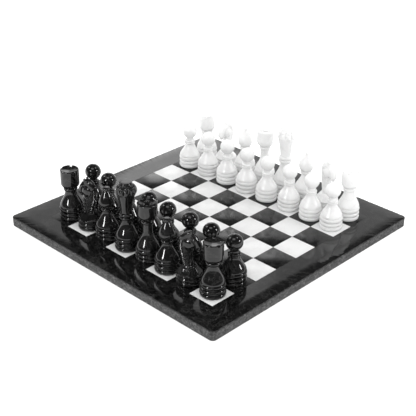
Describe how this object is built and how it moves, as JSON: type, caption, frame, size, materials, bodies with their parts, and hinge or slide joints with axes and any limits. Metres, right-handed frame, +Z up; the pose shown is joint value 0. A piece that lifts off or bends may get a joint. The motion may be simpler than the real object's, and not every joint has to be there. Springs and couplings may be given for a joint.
{
  "type": "chess set with board",
  "caption": "Inlaid stone chess board with a mitred border on felt pads, set with turned and carved dark and light stone pieces that lift off.",
  "frame": {"origin": "middle of the board's underside, in the plane of the table, at the bottom of the felt pads", "axes": "+Z up; +X along a rank, from the left file to the right file as the black player's side is seen from outside; +Y from the black side to the white side"},
  "size_m": [0.381, 0.381, 0.1126],
  "materials": {
    "black_marble": "polished near-black marble with faint grey flecks; the board's outer edge is left rough and reads lighter",
    "white_marble": "polished white marble with faint grey veins",
    "grey_backing_stone": "sawn, unpolished",
    "green_felt": "matt felt"
  },
  "bodies": {
    "board": {"backing_slab": "grey_backing_stone", "black_tiles_1": "black_marble", "black_tiles_2": "black_marble", "black_tiles_3": "black_marble", "black_tiles_4": "black_marble", "black_tiles_5": "black_marble", "black_tiles_6": "black_marble", "black_tiles_7": "black_marble", "border_black_side": "black_marble", "border_left_side": "black_marble", "border_right_side": "black_marble", "border_white_side": "black_marble", "felt_pad_1": "green_felt", "felt_pad_2": "green_felt", "felt_pad_3": "green_felt", "felt_pad_4": "green_felt", "white_tiles_1": "white_marble", "white_tiles_2": "white_marble", "white_tiles_3": "white_marble", "white_tiles_4": "white_marble", "white_tiles_5": "white_marble", "white_tiles_6": "white_marble", "white_tiles_7": "white_marble", "white_tiles_8": "white_marble"},
    "black_bishop_1": {"black_bishop_1": "black_marble"},
    "black_bishop_2": {"black_bishop_2": "black_marble"},
    "black_king": {"black_king": "black_marble"},
    "black_knight_1": {"black_knight_1": "black_marble"},
    "black_knight_2": {"black_knight_2": "black_marble"},
    "black_pawn_1": {"black_pawn_1": "black_marble"},
    "black_pawn_2": {"black_pawn_2": "black_marble"},
    "black_pawn_3": {"black_pawn_3": "black_marble"},
    "black_pawn_4": {"black_pawn_4": "black_marble"},
    "black_pawn_5": {"black_pawn_5": "black_marble"},
    "black_pawn_6": {"black_pawn_6": "black_marble"},
    "black_pawn_7": {"black_pawn_7": "black_marble"},
    "black_pawn_8": {"black_pawn_8": "black_marble"},
    "black_queen": {"black_queen": "black_marble"},
    "black_rook_1": {"black_rook_1": "black_marble"},
    "black_rook_2": {"black_rook_2": "black_marble"},
    "white_bishop_1": {"white_bishop_1": "white_marble"},
    "white_bishop_2": {"white_bishop_2": "white_marble"},
    "white_king": {"white_king": "white_marble"},
    "white_knight_1": {"white_knight_1": "white_marble"},
    "white_knight_2": {"white_knight_2": "white_marble"},
    "white_pawn_1": {"white_pawn_1": "white_marble"},
    "white_pawn_2": {"white_pawn_2": "white_marble"},
    "white_pawn_3": {"white_pawn_3": "white_marble"},
    "white_pawn_4": {"white_pawn_4": "white_marble"},
    "white_pawn_5": {"white_pawn_5": "white_marble"},
    "white_pawn_6": {"white_pawn_6": "white_marble"},
    "white_pawn_7": {"white_pawn_7": "white_marble"},
    "white_pawn_8": {"white_pawn_8": "white_marble"},
    "white_queen": {"white_queen": "white_marble"},
    "white_rook_1": {"white_rook_1": "white_marble"},
    "white_rook_2": {"white_rook_2": "white_marble"}
  },
  "joints": [
    {"name": "black_bishop_1_lift", "type": "slide", "parent": "board", "child": "black_bishop_1", "axis": [0, 0, 1], "range_m": [0, 0.12]},
    {"name": "black_bishop_2_lift", "type": "slide", "parent": "board", "child": "black_bishop_2", "axis": [0, 0, 1], "range_m": [0, 0.12]},
    {"name": "black_king_lift", "type": "slide", "parent": "board", "child": "black_king", "axis": [0, 0, 1], "range_m": [0, 0.12]},
    {"name": "black_knight_1_lift", "type": "slide", "parent": "board", "child": "black_knight_1", "axis": [0, 0, 1], "range_m": [0, 0.12]},
    {"name": "black_knight_2_lift", "type": "slide", "parent": "board", "child": "black_knight_2", "axis": [0, 0, 1], "range_m": [0, 0.12]},
    {"name": "black_pawn_1_lift", "type": "slide", "parent": "board", "child": "black_pawn_1", "axis": [0, 0, 1], "range_m": [0, 0.12]},
    {"name": "black_pawn_2_lift", "type": "slide", "parent": "board", "child": "black_pawn_2", "axis": [0, 0, 1], "range_m": [0, 0.12]},
    {"name": "black_pawn_3_lift", "type": "slide", "parent": "board", "child": "black_pawn_3", "axis": [0, 0, 1], "range_m": [0, 0.12]},
    {"name": "black_pawn_4_lift", "type": "slide", "parent": "board", "child": "black_pawn_4", "axis": [0, 0, 1], "range_m": [0, 0.12]},
    {"name": "black_pawn_5_lift", "type": "slide", "parent": "board", "child": "black_pawn_5", "axis": [0, 0, 1], "range_m": [0, 0.12]},
    {"name": "black_pawn_6_lift", "type": "slide", "parent": "board", "child": "black_pawn_6", "axis": [0, 0, 1], "range_m": [0, 0.12]},
    {"name": "black_pawn_7_lift", "type": "slide", "parent": "board", "child": "black_pawn_7", "axis": [0, 0, 1], "range_m": [0, 0.12]},
    {"name": "black_pawn_8_lift", "type": "slide", "parent": "board", "child": "black_pawn_8", "axis": [0, 0, 1], "range_m": [0, 0.12]},
    {"name": "black_queen_lift", "type": "slide", "parent": "board", "child": "black_queen", "axis": [0, 0, 1], "range_m": [0, 0.12]},
    {"name": "black_rook_1_lift", "type": "slide", "parent": "board", "child": "black_rook_1", "axis": [0, 0, 1], "range_m": [0, 0.12]},
    {"name": "black_rook_2_lift", "type": "slide", "parent": "board", "child": "black_rook_2", "axis": [0, 0, 1], "range_m": [0, 0.12]},
    {"name": "white_bishop_1_lift", "type": "slide", "parent": "board", "child": "white_bishop_1", "axis": [0, 0, 1], "range_m": [0, 0.12]},
    {"name": "white_bishop_2_lift", "type": "slide", "parent": "board", "child": "white_bishop_2", "axis": [0, 0, 1], "range_m": [0, 0.12]},
    {"name": "white_king_lift", "type": "slide", "parent": "board", "child": "white_king", "axis": [0, 0, 1], "range_m": [0, 0.12]},
    {"name": "white_knight_1_lift", "type": "slide", "parent": "board", "child": "white_knight_1", "axis": [0, 0, 1], "range_m": [0, 0.12]},
    {"name": "white_knight_2_lift", "type": "slide", "parent": "board", "child": "white_knight_2", "axis": [0, 0, 1], "range_m": [0, 0.12]},
    {"name": "white_pawn_1_lift", "type": "slide", "parent": "board", "child": "white_pawn_1", "axis": [0, 0, 1], "range_m": [0, 0.12]},
    {"name": "white_pawn_2_lift", "type": "slide", "parent": "board", "child": "white_pawn_2", "axis": [0, 0, 1], "range_m": [0, 0.12]},
    {"name": "white_pawn_3_lift", "type": "slide", "parent": "board", "child": "white_pawn_3", "axis": [0, 0, 1], "range_m": [0, 0.12]},
    {"name": "white_pawn_4_lift", "type": "slide", "parent": "board", "child": "white_pawn_4", "axis": [0, 0, 1], "range_m": [0, 0.12]},
    {"name": "white_pawn_5_lift", "type": "slide", "parent": "board", "child": "white_pawn_5", "axis": [0, 0, 1], "range_m": [0, 0.12]},
    {"name": "white_pawn_6_lift", "type": "slide", "parent": "board", "child": "white_pawn_6", "axis": [0, 0, 1], "range_m": [0, 0.12]},
    {"name": "white_pawn_7_lift", "type": "slide", "parent": "board", "child": "white_pawn_7", "axis": [0, 0, 1], "range_m": [0, 0.12]},
    {"name": "white_pawn_8_lift", "type": "slide", "parent": "board", "child": "white_pawn_8", "axis": [0, 0, 1], "range_m": [0, 0.12]},
    {"name": "white_queen_lift", "type": "slide", "parent": "board", "child": "white_queen", "axis": [0, 0, 1], "range_m": [0, 0.12]},
    {"name": "white_rook_1_lift", "type": "slide", "parent": "board", "child": "white_rook_1", "axis": [0, 0, 1], "range_m": [0, 0.12]},
    {"name": "white_rook_2_lift", "type": "slide", "parent": "board", "child": "white_rook_2", "axis": [0, 0, 1], "range_m": [0, 0.12]}
  ]
}
